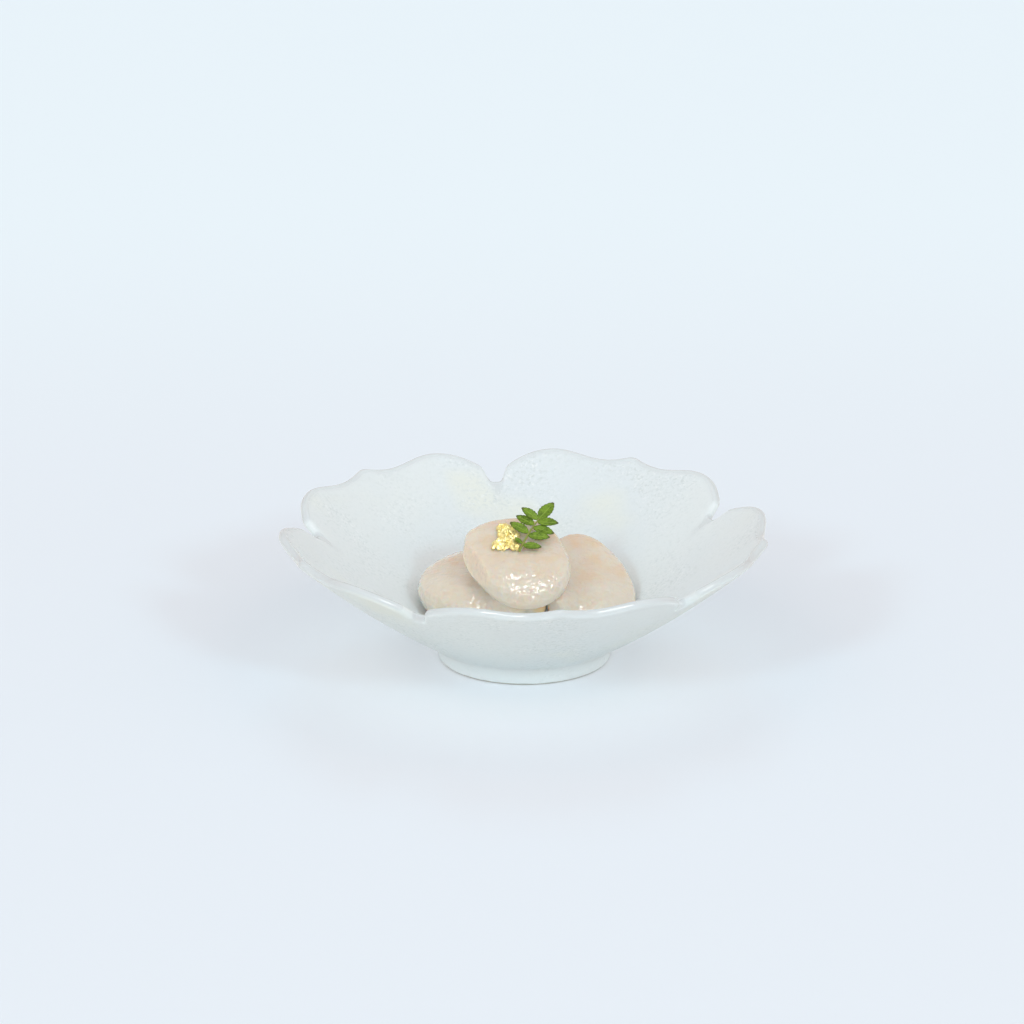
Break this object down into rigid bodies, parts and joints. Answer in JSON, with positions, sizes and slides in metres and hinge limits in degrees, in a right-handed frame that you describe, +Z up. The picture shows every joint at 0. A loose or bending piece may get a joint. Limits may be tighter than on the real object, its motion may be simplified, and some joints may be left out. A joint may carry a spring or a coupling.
{
  "type": "mukozuke dish",
  "caption": "Flared flower-shaped ceramic dish with notched petals on a foot ring, served with sliced scallop, a crumple of gold leaf and a pepper-leaf sprig.",
  "frame": {"origin": "centre of the foot ring's standing face", "axes": "+Z up out of the bowl, +X to the viewer's right, +Y away from the viewer"},
  "size_m": [0.166, 0.1658, 0.0498],
  "materials": {
    "glaze": "glossy pale grey-green white glaze with a fine crystalline mottle",
    "glaze_foot": "same glaze, thinner, wiped from the standing face",
    "scallop": "raw scallop, wet and translucent",
    "gold": "crumpled gold leaf",
    "stem": "fresh green stem",
    "leaflet": "fresh leaf, satin"
  },
  "bodies": {
    "dish": {"dish_body": "glaze", "foot_ring": "glaze_foot"},
    "right_slice": {"scallop_right": "scallop"},
    "left_slice": {"scallop_left": "scallop"},
    "top_slice": {"scallop_top": "scallop", "gold_leaf": "gold"},
    "sprig": {"sprig_stem": "stem", "leaflet_tip": "leaflet", "leaflet_left_1": "leaflet", "leaflet_left_2": "leaflet", "leaflet_left_3": "leaflet", "leaflet_left_4": "leaflet", "leaflet_right_1": "leaflet", "leaflet_right_2": "leaflet", "leaflet_right_3": "leaflet", "leaflet_right_4": "leaflet"}
  },
  "joints": [
    {"name": "right_lift", "type": "slide", "parent": "dish", "child": "right_slice", "axis": [0, 0, 1], "range_m": [0, 0.06]},
    {"name": "left_lift", "type": "slide", "parent": "right_slice", "child": "left_slice", "axis": [0, 0, 1], "range_m": [0, 0.06]},
    {"name": "top_lift", "type": "slide", "parent": "left_slice", "child": "top_slice", "axis": [0, 0, 1], "range_m": [0, 0.05]},
    {"name": "sprig_lift", "type": "slide", "parent": "top_slice", "child": "sprig", "axis": [0, 0, 1], "range_m": [0, 0.04]}
  ]
}
